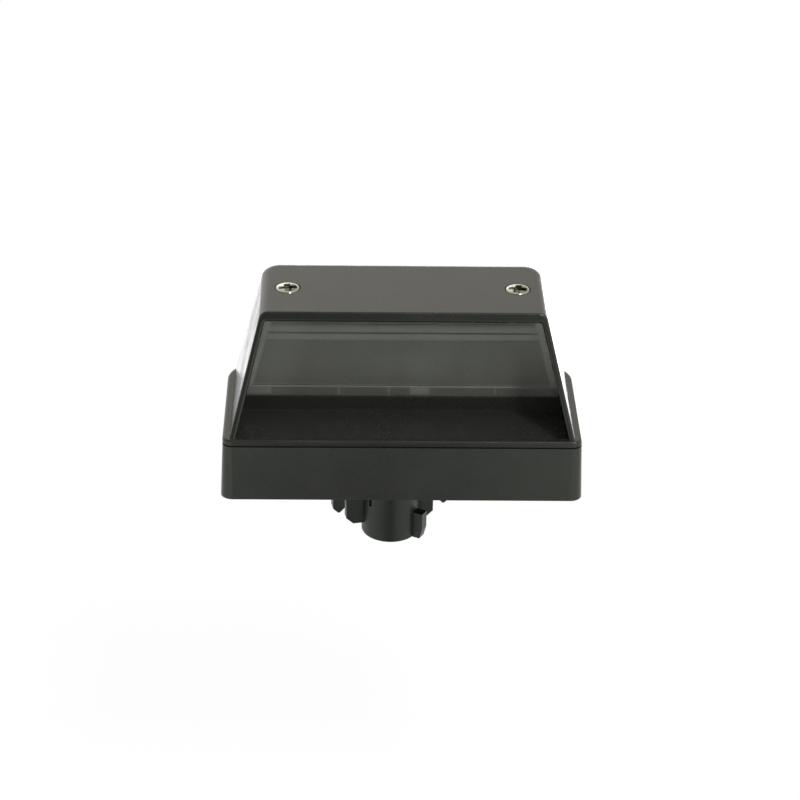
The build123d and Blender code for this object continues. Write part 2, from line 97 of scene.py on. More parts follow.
class LensSizes(bpy.types.PropertyGroup):
    """Sizes of the lens and of the bands moulded into its front."""

    lean: angle("Lean", "How far the lens leans forward from upright", 10.0)
    thickness: length("Thickness", "Thickness of the plate", 2.0)
    side_lean: angle("Side lean", "Lean of the sides, as the hood's walls lean", 14.5)
    shoulder: length("Shoulder", "Upright part of the sides above the foot", 1.32)
    corner: length("Corner", "Round of the two upper corners", 2.5)
    border: length("Border", "Width of the rim round the main panel", 2.0)
    groove_depth: length("Groove depth", "Depth of the two grooves", 0.35)
    groove_width: length("Groove width", "Width of the two grooves", 0.8)
    panel_start: length("Panel start", "Height of the main panel's lower edge", 8.0)
    panel_end: length("Panel end", "Height of the main panel's upper edge", 25.3)
    upper_band: length("Upper band", "Height of the band above the panel", 2.6)
    panel_sunk: length("Panel sunk", "How far the main panel lies below its rim", 0.2)
    top_line: length("Top line", "Depth of the fine line below the upper edge", 0.18)
    top_line_drop: length("Top line drop", "Fine line to the upper edge", 3.2)
    band_crown: length("Band crown", "How far each band swells between its edges", 0.06)
    edge_round: length("Edge round", "Round along the plate's outline", 0.25)
    pad_width: length("Pad width", "Width of the pale pad at the left of the foot band", 8.3)
    rib_width: length("Rib width", "Width of the pale ribs on the foot band", 0.5)


class ScrewSizes(bpy.types.PropertyGroup):
    """Sizes of the two long screws."""

    shank_radius: length("Shank radius", "Radius of the plain shank", 1.8)
    thread_radius: length("Thread radius", "Radius over the thread's crests", 2.0)
    root_radius: length("Root radius", "Radius at the bottom of the thread", 1.57)
    pitch: length("Pitch", "Rise of the thread in one turn", 0.7)
    thread_length: length("Thread length", "Length of the threaded end", 12.0)
    point: length("Point", "Taper at the end of the thread", 0.6)
    head_height: length("Head height", "Height of the head", 2.2)
    head_round: length("Head round", "Round at the head's upper edge", 0.32)
    crown: length("Crown", "How far the head's top swells", 0.2)
    recess_span: length("Recess span", "Width across the cross recess", 5.7)
    recess_slot: length("Recess slot", "Width of each arm of the cross", 1.75)
    recess_depth: length("Recess depth", "Depth of the cross at its middle", 2.0)


class BulbSizes(bpy.types.PropertyGroup):
    """Sizes of the capless bulb."""

    turn: angle("Turn", "Turn of the bulb and its holder", 11.0)
    glass_wall: length("Glass wall", "Thickness of the blown glass", 0.7)
    foot_width: length("Foot width", "Width of the pressed foot", 9.4)
    foot_thickness: length("Foot thickness", "Thickness of the pressed foot", 2.4)
    pinch_start: length("Pinch start", "Height where the glass starts to open", 7.6)
    pinch_end: length("Pinch end", "Height where the glass is round", 11.4)
    cavity_start: length("Cavity start", "Height where the hollow starts", 9.4)
    coil_turns: IntProperty(name="Coil turns", description="Turns of the filament", default=22, min=4)
    coil_wire: length("Coil wire", "Radius of the filament's wire", 0.055)


class LampColours(bpy.types.PropertyGroup):
    """Base colours of the lamp's finishes."""

    hood: colour("Hood", "Satin black of the hood", (0.0145, 0.0145, 0.013))
    base: colour("Base", "Fine-grained black of the base", (0.0194, 0.0200, 0.0180))
    holder: colour("Holder", "Dull black of the bulb holder", (0.0145, 0.0160, 0.0140))
    dust: colour("Dust", "Dust that settles on upward faces", (0.20, 0.19, 0.165))
    lens: colour("Lens", "Clear moulding where it is brightest", (0.80, 0.82, 0.745))
    haze: colour("Haze", "Clear moulding where it is darkest", (0.065, 0.068, 0.058))
    rubber: colour("Rubber", "Black rubber", (0.007, 0.007, 0.007))
    zinc: colour("Zinc", "Zinc plate", (0.90, 0.91, 0.86))
    passivation: colour("Passivation", "Yellow-green film on the zinc plate", (0.62, 0.58, 0.36))
    sheet: colour("Sheet", "Bright rolled sheet", (0.62, 0.62, 0.60))
    brass: colour("Brass", "Rolled brass", (0.74, 0.55, 0.25))
    tarnish: colour("Tarnish", "Brown film on the brass", (0.30, 0.19, 0.09))
    glass: colour("Glass", "Tint of the bulb's glass", (0.96, 0.98, 0.97))
    wire: colour("Wire", "Drawn nickel wire", (0.50, 0.49, 0.46))


class StageSettings(bpy.types.PropertyGroup):
    """Camera, floor and light."""

    azimuth: angle("Azimuth", "Camera's turn from straight in front", -1.46)
    elevation: angle("Elevation", "Camera's height above the level", 28.5)
    roll: angle("Roll", "Turn of the picture round its middle", 1.05)
    distance: length("Distance", "Camera to the point it looks at", 768.2)
    focal_pixels: number("Focal pixels", "Focal length in pixels of an 800 pixel frame", 2453.0, 1, 9999)
    floor_drop: length("Floor drop", "Depth of the floor below the skirt", 150.0)
    floor: colour("Floor", "Pale floor", (0.90, 0.90, 0.895))
    floor_share: number("Floor share", "Share of plain white in the floor as it is seen", 0.95, 0, 1)
    front_gloss: number("Front gloss", "Brightness of the room in front, as gloss mirrors it", 0.10, 0, 1)
    floor_gloss: number("Floor gloss", "Brightness of the floor in front, as gloss mirrors it", 0.18, 0, 1)
    key_strength: number("Key strength", "Strength of the main light", 1.25)
    fill_strength: number("Fill strength", "Strength of the room's light on dull surfaces", 0.78)
    back_power: number("Back power", "Power of the low light behind the lamp", 11.0, 0, 100)


GROUPS = {
    "lens_sizes": LensSizes,
    "screw_sizes": ScrewSizes,
    "bulb_sizes": BulbSizes,
    "lamp_colours": LampColours,
    "stage_settings": StageSettings,
}


def shaded_mesh(name, vertices, faces):
    """A mesh from an array of points and lists of corner numbers, smooth but for its sharp edges."""
    mesh = bpy.data.meshes.new(name)
    mesh.from_pydata(vertices.tolist(), [], faces)
    mesh.validate()
    mesh.shade_smooth()
    mesh.set_sharp_from_angle(angle=SHARP_ANGLE)
    return mesh


def add_piece(name, shells, finish, *replaced, tone=None):
    """A new piece of closed shells, which rides with the lamp and stands for some of its solids.

    A tone for each point is kept with its mesh, for painted light, painted shade and grime that follow the
    relief."""
    offsets = np.cumsum([0] + [len(vertices) for vertices, groups in shells])
    vertices = np.concatenate([vertices for vertices, groups in shells])
    faces = []
    for offset, (_, groups) in zip(offsets, shells):
        for group in groups:
            faces += (group + offset).tolist()
    piece = bpy.data.objects.new(name, shaded_mesh(name, vertices, faces))
    bpy.context.scene.collection.objects.link(piece)
    if tone is not None:
        kept = piece.data.attributes.new("tone", "FLOAT", "POINT")
        kept.data.foreach_set("value", tone.astype(np.float32))
    piece.data.materials.append(finishes()[finish])
    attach(piece, BODY)
    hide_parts(*replaced)


def closed_tube(points):
    """A closed shell from rings of points.

    Each ring is a row of the array and runs anticlockwise seen from the last ring. Neighbouring
    rings are joined by quads, and a fan round its middle closes each end."""
    rows, columns, _ = points.shape
    turn = np.arange(columns)
    after = (turn + 1) % columns
    start = np.arange(rows - 1)[:, None] * columns
    corners = (start + turn, start + after, start + columns + after, start + columns + turn)
    quads = np.stack(corners, axis=-1).reshape(-1, 4)
    low_middle = np.full(columns, rows * columns)
    top = (rows - 1) * columns
    low_fan = np.stack([low_middle, after, turn], axis=1)
    high_fan = np.stack([low_middle + 1, top + turn, top + after], axis=1)
    middles = np.stack([points[0].mean(axis=0), points[-1].mean(axis=0)])
    return np.concatenate([points.reshape(-1, 3), middles]), [quads, low_fan, high_fan]


def turned_inside_out(shell):
    """The same shell with its faces towards its inside, for the wall of a hollow."""
    vertices, groups = shell
    return vertices, [corners[:, ::-1] for corners in groups]


def smooth_step(values, start, end):
    """Rises from 0 at start to 1 at end along three t squared less two t cubed."""
    share = np.clip((values - start) / (end - start), 0, 1)
    return share * share * (3 - 2 * share)


def ridge(values, start, end, ramp):
    """One between start and end, falling smoothly to zero over a ramp inside each end."""
    return smooth_step(values, start, start + ramp) * (1 - smooth_step(values, end - ramp, end))


def bell(values, middle, reach):
    """One at the middle, falling to both sides as the exponential of minus the distance squared."""
    return np.exp(-(((values - middle) / reach) ** 2))


def rounded_drop(distance, radius):
    """How far a surface drops towards its edge: a quarter circle of a radius, by distance from the edge."""
    reach = radius - np.clip(distance, 0, radius)
    return radius - np.sqrt(np.maximum(radius * radius - reach * reach, 0))


def sorted_steps(*arrays):
    """One rising row of values from several, without near doubles."""
    values = np.sort(np.concatenate(arrays))
    return values[np.concatenate([[True], np.diff(values) > 1e-6])]


# Reach over which each step on the lens rises
RAMP = 0.3 * MM
# Height of the lens's foot band, from the rail's top to the lower groove
FOOT_BAND = 3.4 * MM
# Places across the lens of the pale ribs on its foot band, and of the roughened patch there
RIB_PLACES = np.array([-40.9, -19.6, -4.0, 29.1]) * MM
PATCH_PLACE = np.array([2.2, 8.6]) * MM
PATCH_GRAIN = 0.22 * MM
# The faint painted highlight where the bulb shows through the lens: its middle and its reach, across and up
BULB_HIGHLIGHT_MIDDLE = np.array([4.5, 16.0]) * MM
BULB_HIGHLIGHT_REACH = np.array([7.0, 5.0]) * MM
# Heights above the upper groove where the painted shade under the hood's roof starts, and where it is
# darkest
SHADE_PLACE = np.array([0.7, 2.9]) * MM
# Widths of the painted light at the lens's two ends, which lifts the shade there
LEFT_PAINTED_LIGHT = 20 * MM
RIGHT_PAINTED_LIGHT = 14 * MM
# Tone of the main panel, from 0, dark, to 1, bright, and what the upper bands or the rim add to it; the
# rim's rise is painted light
PANEL_TONE = 0.36
BAND_RISE = 0.22
RIM_PAINTED_LIGHT = 0.44
# What each finer mark adds to the tone, or takes from it: the bulb, outline and rim marks are painted
# highlights, the ends painted light, and the grooves, the fine line and the shade painted shade
MARK_RISES = {
    "painted_bulb_highlight": 0.07,
    "foot": -0.02,
    "outline": 0.10,
    "painted_rim_highlight": 0.10,
    "foot_line": 0.07,
    "pale": 0.46,
    "low_groove": -0.06,
    "high_groove": -0.36,
    "fine_line": -0.14,
    "shade": -0.06,
    "left_painted_light": 0.26,
    "right_painted_light": 0.16,
}


def lens_levels(sizes):
    """Heights along the lens, up its slope, where its features start and end."""
    low_groove = sizes.panel_start - sizes.groove_width
    high_groove = sizes.panel_end + sizes.upper_band
    full = (LENS_HIGH.z - LENS_LOW.z - sizes.thickness * sin(sizes.lean)) / cos(sizes.lean)
    return SimpleNamespace(
        rail_top=low_groove - FOOT_BAND,
        low_groove=low_groove,
        panel_start=sizes.panel_start,
        panel_end=sizes.panel_end,
        high_groove=high_groove,
        upper=high_groove + sizes.groove_width,
        top_line=full - sizes.top_line_drop,
        full=full,
    )


def lens_grid(sizes, at):
    """Places on the lens's front: across it, up it, and half its width at each height.

    The half-width narrows with height by the hood's side lean and draws in at the upper corners
    along a circle. Rows and columns crowd together at each edge, groove and rib."""
    foot_half = (LENS_HIGH.x - LENS_LOW.x) / 2
    near = np.linspace(-RAMP, RAMP, 7)
    ends = sizes.edge_round * (1 - np.cos(np.linspace(0, pi / 2, 5)))
    corner_rows = at.full - sizes.corner * (1 - np.sin(np.linspace(0, pi / 2, 14)))
    features = [level + near for level in vars(at).values() if level < at.full]
    heights = sorted_steps(np.linspace(0, at.full, 60), ends, at.full - ends, corner_rows, *features)

    past_shoulder = np.maximum(heights - sizes.shoulder, 0)
    half = foot_half - past_shoulder * tan(sizes.side_lean) * cos(sizes.lean)
    into_corner = np.maximum(heights - (at.full - sizes.corner), 0)
    half = half - sizes.corner + np.sqrt(np.maximum(sizes.corner**2 - into_corner**2, 0))

    # Between -1 and 1 a column spreads over the space inside the border, and beyond over the border
    near_rib = np.linspace(-1.0, 1.0, 13) * MM
    by_ribs = [(place + near_rib) / (foot_half - sizes.border) for place in RIB_PLACES]
    inner = sorted_steps(np.linspace(-1, 1, 110), *by_ribs)
    outer = np.concatenate([ends / sizes.border, np.linspace(0.2, 0.927, 10)])
    share = np.concatenate([outer - 2, inner[np.abs(inner) <= 1], 2 - outer[::-1]])
    inside = (half[:, None] - sizes.border) * np.clip(share, -1, 1)
    across = inside + np.sign(share) * np.clip(np.abs(share) - 1, 0, 1) * sizes.border
    return across, np.broadcast_to(heights[:, None], across.shape), half[:, None]


def lens_shell(sizes):
    """The lens as rings round its plate, one for each height along it, and a tone for each point.

    The front stands back by the sum of the grooves, the sunk panel and the fine line, less a low
    crown on each band, but never stands out past the plate, and a quarter circle rounds its edges.
    The back is plain, with the same round. The tone adds up what each mark gives: it is paler on
    the upper bands, has painted light on the rim and the ends, painted shade in the grooves, the fine
    line and under the roof, and painted highlights along the outline, the rim's inner edge and where
    the bulb shows through, and the pad, the ribs and the roughened patch on the foot band are pale marks."""
    at = lens_levels(sizes)
    across, height, half = lens_grid(sizes, at)
    from_left = across + half
    from_side = half - np.abs(across)
    from_edge = np.minimum(from_side, np.minimum(height, at.full - height))

    within = smooth_step(from_side, sizes.border - RAMP, sizes.border + RAMP)
    low_groove = ridge(height, at.low_groove, at.panel_start, RAMP)
    grooves = low_groove + ridge(height, at.high_groove, at.upper, RAMP)
    panel = ridge(height, at.panel_start - RAMP, at.panel_end + RAMP, 2 * RAMP) * within
    fine_line = bell(height, at.top_line, 1.1 * RAMP) * within
    edge = rounded_drop(from_edge, sizes.edge_round)
    crown = np.zeros_like(across)
    for start, end in ((at.rail_top, at.low_groove), (at.panel_end, at.high_groove), (at.upper, at.full)):
        share = np.clip((height - start) / (end - start), 0, 1)
        crown = crown + sizes.band_crown * 4 * share * (1 - share)
    sunk = sizes.groove_depth * grooves * within + sizes.panel_sunk * panel + sizes.top_line * fine_line
    front = np.minimum(crown - sunk, 0) - edge
    back = edge - sizes.thickness

    pad_frame = 1 - 0.5 * ridge(from_left, 4 * RAMP, sizes.pad_width - 3 * RAMP, RAMP)
    pale = ridge(from_left, RAMP, sizes.pad_width, RAMP) * pad_frame
    for place in RIB_PLACES:
        pale = np.maximum(pale, bell(across, place, sizes.rib_width / 2))
    dimples = 0.75 + 0.25 * np.sin(across / PATCH_GRAIN) * np.sin(height / PATCH_GRAIN)
    pale = np.maximum(pale, ridge(across, *PATCH_PLACE, RAMP) * dimples)
    shade = smooth_step(height, *(at.upper + SHADE_PLACE))
    bands = smooth_step(height, at.panel_end - RAMP, at.panel_end + 3 * RAMP) * (1 - shade)
    rim = (1 - within) * ridge(height, at.low_groove, at.full, RAMP)
    groove_line = (at.high_groove - 0.6 * RAMP, at.high_groove + 1.6 * RAMP)
    # Painted highlight where the bulb shows through the lens
    painted_bulb_highlight = bell(across, BULB_HIGHLIGHT_MIDDLE[0], BULB_HIGHLIGHT_REACH[0]) * bell(height, BULB_HIGHLIGHT_MIDDLE[1], BULB_HIGHLIGHT_REACH[1])
    marks = {
        "painted_bulb_highlight": painted_bulb_highlight,
        "foot": height < at.low_groove,
        # Painted highlights along the lens's outline and along the rim's inner edge
        "outline": bell(from_edge, 1.2 * RAMP, 0.8 * RAMP) * (height > at.rail_top),
        "painted_rim_highlight": bell(from_side, sizes.border, 0.8 * RAMP) * (height > at.low_groove),
        "foot_line": ridge(height, at.low_groove - 1.5 * RAMP, at.low_groove + 0.5 * RAMP, RAMP),
        "pale": ridge(height, at.rail_top + RAMP, at.low_groove, RAMP) * pale,
        # Painted shade in the grooves, in the fine line and under the hood's roof
        "low_groove": low_groove,
        "high_groove": ridge(height, *groove_line, 0.9 * RAMP) * within,
        "fine_line": fine_line,
        "shade": shade * within,
        # Painted light at the two ends of the lens
        "left_painted_light": 1 - smooth_step(from_left, 0, LEFT_PAINTED_LIGHT),
        "right_painted_light": smooth_step(from_left, 2 * half - RIGHT_PAINTED_LIGHT, 2 * half),
    }
    tone = PANEL_TONE + np.maximum(BAND_RISE * bands, RIM_PAINTED_LIGHT * rim)
    tone = np.clip(tone + sum(MARK_RISES[name] * mark for name, mark in marks.items()), 0, 1)

    origin = np.array([(LENS_HIGH.x + LENS_LOW.x) / 2, LENS_HIGH.y, LENS_LOW.z])
    origin[1] -= sizes.thickness * cos(sizes.lean)
    along = np.array([0, -sin(sizes.lean), cos(sizes.lean)])
    outward = np.array([0, -cos(sizes.lean), -sin(sizes.lean)])
    rings = np.concatenate([across, across[:, ::-1]], axis=1)
    levels = np.concatenate([front, back[:, ::-1]], axis=1)
    tall = np.concatenate([height, height], axis=1)
    points = origin + rings[..., None] * np.array([1.0, 0, 0])
    points = points + tall[..., None] * along + levels[..., None] * outward
    tones = np.concatenate([tone, np.full_like(tone, PANEL_TONE)], axis=1)
    return closed_tube(points), np.concatenate([tones.ravel(), [PANEL_TONE, PANEL_TONE]])


def ring_angles(columns):
    """Angles of a ring's points, anticlockwise."""
    return np.linspace(0, 2 * pi, columns, endpoint=False)


# How thick grime lies over a screw's thread, how much darker its roots are, and how deep painted shade lies
# on its head, by place
THREAD_GRIME = 0.2
ROOT_DARKENING = 0.65
RECESS_PAINTED_SHADE = 0.9
RIGHT_PAINTED_SHADE = 0.86
FRONT_PAINTED_SHADE = 0.6
RIM_PAINTED_SHADE = 0.62
# Half the width of the slope between a head's top and the wall of its recess
RECESS_SLOPE = 0.16 * MM
# Share of the recess's depth that is lost from its middle to the ends of its arms
RECESS_TAPER = 0.45
# How far the two cross recesses are turned
SCREW_TURNS = (radians(7), radians(-11))
# Directions of the painted shade on a head, anticlockwise from the right, in radians
SHADED_RIM_LEFT = -2.2
SHADED_RIM_RIGHT = -0.5
SHADED_SIDE = -0.35
# Steepness of the thread's flanks, and how far below the root their lines meet, as shares of its depth
FLANK_SLOPE = 2.6
FLANK_MEETING = 0.6


def screw_thread(sizes, angles):
    """Radius, level, and grime with darkening in the roots, of a screw's threaded end, by rows from its tip
    up.

    The radius runs between root and crest with the fraction of the height over the pitch less the
    angle over a full turn, runs out into the shank above, and is cut by a cone at the tip."""
    tip = -sizes.thread_length
    rows = np.linspace(tip, 0, 150)[:, None]
    phase = (rows / sizes.pitch - angles / (2 * pi)) % 1
    crest = np.clip(FLANK_SLOPE * np.abs(2 * phase - 1) - FLANK_MEETING, 0, 1)
    radii = sizes.root_radius + (sizes.thread_radius - sizes.root_radius) * crest
    run_out = smooth_step(rows, -sizes.pitch, 0)
    radii = radii * (1 - run_out) + sizes.shank_radius * run_out
    radii = np.minimum(radii, sizes.thread_radius - sizes.point + (rows - tip))
    grime_and_shade = THREAD_GRIME + ROOT_DARKENING * (1 - crest) * (1 - run_out)
    return radii, np.broadcast_to(rows, radii.shape), grime_and_shade


def screw_side(sizes, angles, head_radius):
    """Radius, level and painted shade of a screw's plain shank and of its head's side and rounded rim.

    The rim is a quarter circle. Painted shade lies on it at the front left and at the right."""
    bevel = 0.1 * MM
    round_turn = np.linspace(0, pi / 2, 9)
    seat = SCREWS_HIGH.z - sizes.head_height
    shoulder = SCREWS_HIGH.z - sizes.crown
    rim_radii = head_radius - sizes.head_round * (1 - np.cos(round_turn))
    rim_levels = shoulder - sizes.head_round * (1 - np.sin(round_turn))
    plain_radii = [sizes.shank_radius, sizes.shank_radius, head_radius - bevel, head_radius]
    plain_levels = [0.2 * MM, seat, seat, seat + bevel]
    radii = np.concatenate([plain_radii, rim_radii])[:, None] * np.ones(angles.size)
    levels = np.concatenate([plain_levels, rim_levels])[:, None] * np.ones(angles.size)
    front_left = smooth_step(np.cos(angles - SHADED_RIM_LEFT), 0.3, 0.9)
    right = smooth_step(np.cos(angles - SHADED_RIM_RIGHT), 0.4, 0.95)
    rim_shade = RIM_PAINTED_SHADE * np.maximum(front_left, right)
    on_rim = np.arange(len(radii))[:, None] >= len(plain_radii)
    return radii, levels, on_rim * rim_shade, rim_shade


def screw_top(sizes, angles, flat_radius, turn, rim_shade):
    """Radius, level and painted shade of a head's top, by rows from its rim to its middle.

    The top swells by a parabola and drops into a cross whose arms are two smooth boxes across each
    other, deeper towards the middle. Painted shade lies in the cross and, thinner, at the right and front."""
    rows = np.linspace(flat_radius, 0.02 * MM, 56)[1:, None]
    radii = np.broadcast_to(rows, (len(rows), angles.size))
    along = np.abs(radii * np.cos(angles - turn))
    aside = np.abs(radii * np.sin(angles - turn))
    half_slot, half_span = sizes.recess_slot / 2, sizes.recess_span / 2
    arms = [
        (1 - smooth_step(width, half_slot - RECESS_SLOPE, half_slot + RECESS_SLOPE))
        * (1 - smooth_step(reach, half_span - 2 * RECESS_SLOPE, half_span))
        for width, reach in ((along, aside), (aside, along))
    ]
    recess = np.maximum(*arms)
    depth = sizes.recess_depth * (1 - RECESS_TAPER * radii / half_span)
    levels = SCREWS_HIGH.z - sizes.crown * (radii / flat_radius) ** 2 - recess * depth
    inner = 1 - smooth_step(radii / flat_radius, 0.84, 0.97)
    right = RIGHT_PAINTED_SHADE * smooth_step(np.cos(angles - SHADED_SIDE), -0.3, 0.5)
    front = FRONT_PAINTED_SHADE * smooth_step(-np.sin(angles), 0.1, 0.8)
    grime_and_shade = RECESS_PAINTED_SHADE * np.sqrt(recess) + inner * np.maximum(right, front) + (1 - inner) * rim_shade
    return radii, levels, np.clip(grime_and_shade, 0, 1)


def screw_shell(sizes, centre, turn):
    """One long screw as rings round its upright axis, from its tip to the middle of its head, and
    how much grime and painted shade lie on each point."""
    angles = ring_angles(128)[None, :]
    head_radius = (SCREWS_HIGH.y - SCREWS_LOW.y) / 2
    *side, rim_shade = screw_side(sizes, angles, head_radius)
    top = screw_top(sizes, angles, head_radius - sizes.head_round, turn, rim_shade)
    stretches = (screw_thread(sizes, angles), side, top)
    radii, levels, grime_and_shade = (np.concatenate(rows) for rows in zip(*stretches))
    x, y = centre[0] + radii * np.cos(angles), centre[1] + radii * np.sin(angles)
    # The tube's last two points are the tip's middle, which is clean, and the middle of the recess
    return closed_tube(np.stack([x, y, levels], axis=-1)), np.append(grime_and_shade, [0.0, RECESS_PAINTED_SHADE])


# Round of the bulb's hollow at its lower end, and the ease of the foot's end
HOLLOW_ROUND = 1.6 * MM
FOOT_ROUND = 0.5 * MM
# Squareness of the foot's flat section and of a circle
FOOT_SQUARENESS = 7
ROUND_SQUARENESS = 2
# Radius over the turns of the filament
COIL_RADIUS = 0.3 * MM


def on_bulb(sizes, across, deep, level):
    """Points given across and through the bulb, turned with it and moved to its middle."""
    x = BULB_CENTRE.x + across * cos(sizes.turn) - deep * sin(sizes.turn)
    y = BULB_CENTRE.y + across * sin(sizes.turn) + deep * cos(sizes.turn)
    return np.stack([x, y, level], axis=-1)


def bulb_section(half_width, half_thickness, squareness):
    """A rounded section: each half-size times the cosine or sine raised to two over the squareness."""
    angles = ring_angles(96)[None, :]
    power = 2 / squareness[:, None]
    across = np.sign(np.cos(angles)) * np.abs(np.cos(angles)) ** power * half_width[:, None]
    deep = np.sign(np.sin(angles)) * np.abs(np.sin(angles)) ** power * half_thickness[:, None]
    return across, deep


def bulb_skin(sizes, start, inset):
    """One skin of the bulb's glass, drawn in by a wall, from a height above its foot's end up.

    The section is a flat rounded bar at the foot and opens smoothly into a circle, and the top
    closes along a half circle. The hollow's lower end is round, and the foot's end is eased."""
    radius = (GLASS_HIGH.x - GLASS_LOW.x) / 2 - inset
    dome = GLASS_HIGH.z - GLASS_LOW.z - radius - inset
    straight = np.linspace(start, dome, 70)
    closing = np.linspace(0, pi / 2, 22)[1:-1]
    levels = np.concatenate([straight, dome + radius * np.sin(closing)])
    shrink = np.concatenate([np.ones(len(straight)), np.cos(closing)])
    if inset > 0:
        opening = np.clip((levels - start) / HOLLOW_ROUND, 0.03, 1)
        shrink = shrink * np.sqrt(1 - (1 - opening) ** 2)
    else:
        shrink = shrink * (1 - 0.08 * (1 - np.clip((levels - start) / FOOT_ROUND, 0, 1)) ** 2)
    share = smooth_step(levels, sizes.pinch_start, sizes.pinch_end)
    half_width = ((sizes.foot_width / 2 - inset) * (1 - share) + radius * share) * shrink
    half_thickness = ((sizes.foot_thickness / 2 - inset / 2) * (1 - share) + radius * share) * shrink
    squareness = FOOT_SQUARENESS * (1 - share) + ROUND_SQUARENESS * share
    across, deep = bulb_section(half_width, half_thickness, squareness)
    heights = np.broadcast_to(levels[:, None] + GLASS_LOW.z, across.shape)
    return closed_tube(on_bulb(sizes, across, deep, heights))


def coil_shell(sizes):
    """The filament: a fine wire along a helix whose axis is a low arch between the two leads.

    The arch is a parabola. Each ring of the wire stands square to the helix, on axes made from the
    helix's direction and the arch's radial direction."""
    rings = sizes.coil_turns * 20
    share = np.linspace(0, 1, rings)
    radius = COIL_RADIUS - sizes.coil_wire
    span = (FILAMENT_HIGH.x - FILAMENT_LOW.x) / cos(sizes.turn) - 2 * COIL_RADIUS
    base = FILAMENT_LOW.z + COIL_RADIUS
    arch = FILAMENT_HIGH.z - COIL_RADIUS - base
    line = np.stack([(share - 0.5) * span, 0 * share, base + arch * 4 * share * (1 - share)], axis=1)
    forward = np.gradient(line, axis=0)
    forward /= np.linalg.norm(forward, axis=1, keepdims=True)
    sideways = np.tile([0.0, 1.0, 0.0], (rings, 1))
    upward = np.cross(forward, sideways)
    turn = 2 * pi * sizes.coil_turns * share[:, None]
    radial = np.cos(turn) * sideways + np.sin(turn) * upward
    helix = line + radius * radial
    direction = np.gradient(helix, axis=0)
    direction /= np.linalg.norm(direction, axis=1, keepdims=True)
    beside = np.cross(direction, radial)
    angles = ring_angles(8)[None, :, None]
    points = helix[:, None] + sizes.coil_wire * (
        np.cos(angles) * radial[:, None] + np.sin(angles) * beside[:, None]
    )
    return closed_tube(on_bulb(sizes, *np.moveaxis(points, -1, 0)))


# Places of a Mix node's factor and two colours among its inputs, and of the mixed colour
MIX_INPUTS = (0, 6, 7)
MIX_OUTPUT = 2


def feed(tree, socket, value):
    """Links another node's output to a socket, or sets the socket to a number or a colour."""
    if isinstance(value, bpy.types.NodeSocket):
        tree.links.new(value, socket)
    elif socket.type == "RGBA":
        socket.default_value = (*value, 1)
    else:
        socket.default_value = value


def add_node(tree, kind, settings=None, **sockets):
    """A node of a kind with its settings, and its inputs fed by their names in small letters."""
    made = tree.nodes.new(kind)
    for key, value in (settings or {}).items():
        setattr(made, key, value)
    for key, value in sockets.items():
        feed(tree, made.inputs[key.replace("_", " ").title()], value)
    return made


def maths(tree, operation, *values):
    """The result of a Math node on its values."""
    made = add_node(tree, "ShaderNodeMath", {"operation": operation})
    for socket, value in zip(made.inputs, values):
        feed(tree, socket, value)
    return made.outputs[0]


def times(tree, first, second):
    """A product."""
    return maths(tree, "MULTIPLY", first, second)


def plus(tree, first, second):
    """A sum."""
    return maths(tree, "ADD", first, second)


def minus(tree, first, second):
    """A difference."""
    return maths(tree, "SUBTRACT", first, second)


def mix_values(tree, factor, first, second):
    """A mix of two numbers by a factor."""
    return add_node(tree, "ShaderNodeMix", factor=factor, a=first, b=second).outputs["Result"]


def mix_colours(tree, factor, first, second):
    """A mix of two colours by a factor."""
    made = add_node(tree, "ShaderNodeMix", {"data_type": "RGBA"})
    for place, value in zip(MIX_INPUTS, (factor, first, second)):
        feed(tree, made.inputs[place], value)
    return made.outputs[MIX_OUTPUT]


def spread(tree, value, low, high, to_low=0.0, to_high=1.0):
    """A value spread from one range to another, held at both ends."""
    sockets = {"value": value, "from_min": low, "from_max": high, "to_min": to_low, "to_max": to_high}
    return add_node(tree, "ShaderNodeMapRange", **sockets).outputs[0]


def axes(tree, vector):
    """A place or a direction taken apart into X, Y and Z."""
    return add_node(tree, "ShaderNodeSeparateXYZ", vector=vector).outputs


def stretched(tree, place, scale, turn=0.0):
    """Places drawn together along some axes, which stretches a pattern along the others."""
    return add_node(tree, "ShaderNodeMapping", vector=place, scale=scale, rotation=(0, 0, turn)).outputs[0]


def object_place(tree):
    """The place on the lamp, in metres."""
    return tree.nodes.new("ShaderNodeTexCoord").outputs["Object"]


def surface_normal(tree):
    """The direction in which the surface faces."""
    return tree.nodes.new("ShaderNodeNewGeometry").outputs["Normal"]


def kept_tone(tree):
    """The tone kept with a piece's mesh, and nothing on a piece without one."""
    return add_node(tree, "ShaderNodeAttribute", {"attribute_name": "tone"}).outputs["Fac"]


def noise(tree, place, scale, detail, roughness):
    """Soft noise by place."""
    sockets = {"vector": place, "scale": scale, "detail": detail, "roughness": roughness}
    return add_node(tree, "ShaderNodeTexNoise", **sockets).outputs["Fac"]


def effect_group(name, inputs, outputs):
    """An empty node group with named sockets, what it is given, and what it gives."""
    tree = bpy.data.node_groups.new(name, "ShaderNodeTree")
    for label, value in inputs.items():
        socket = tree.interface.new_socket(label, in_out="INPUT", socket_type="NodeSocketFloat")
        socket.default_value = value
    for label in outputs:
        tree.interface.new_socket(label, in_out="OUTPUT", socket_type="NodeSocketFloat")
    return tree, tree.nodes.new("NodeGroupInput").outputs, tree.nodes.new("NodeGroupOutput").inputs


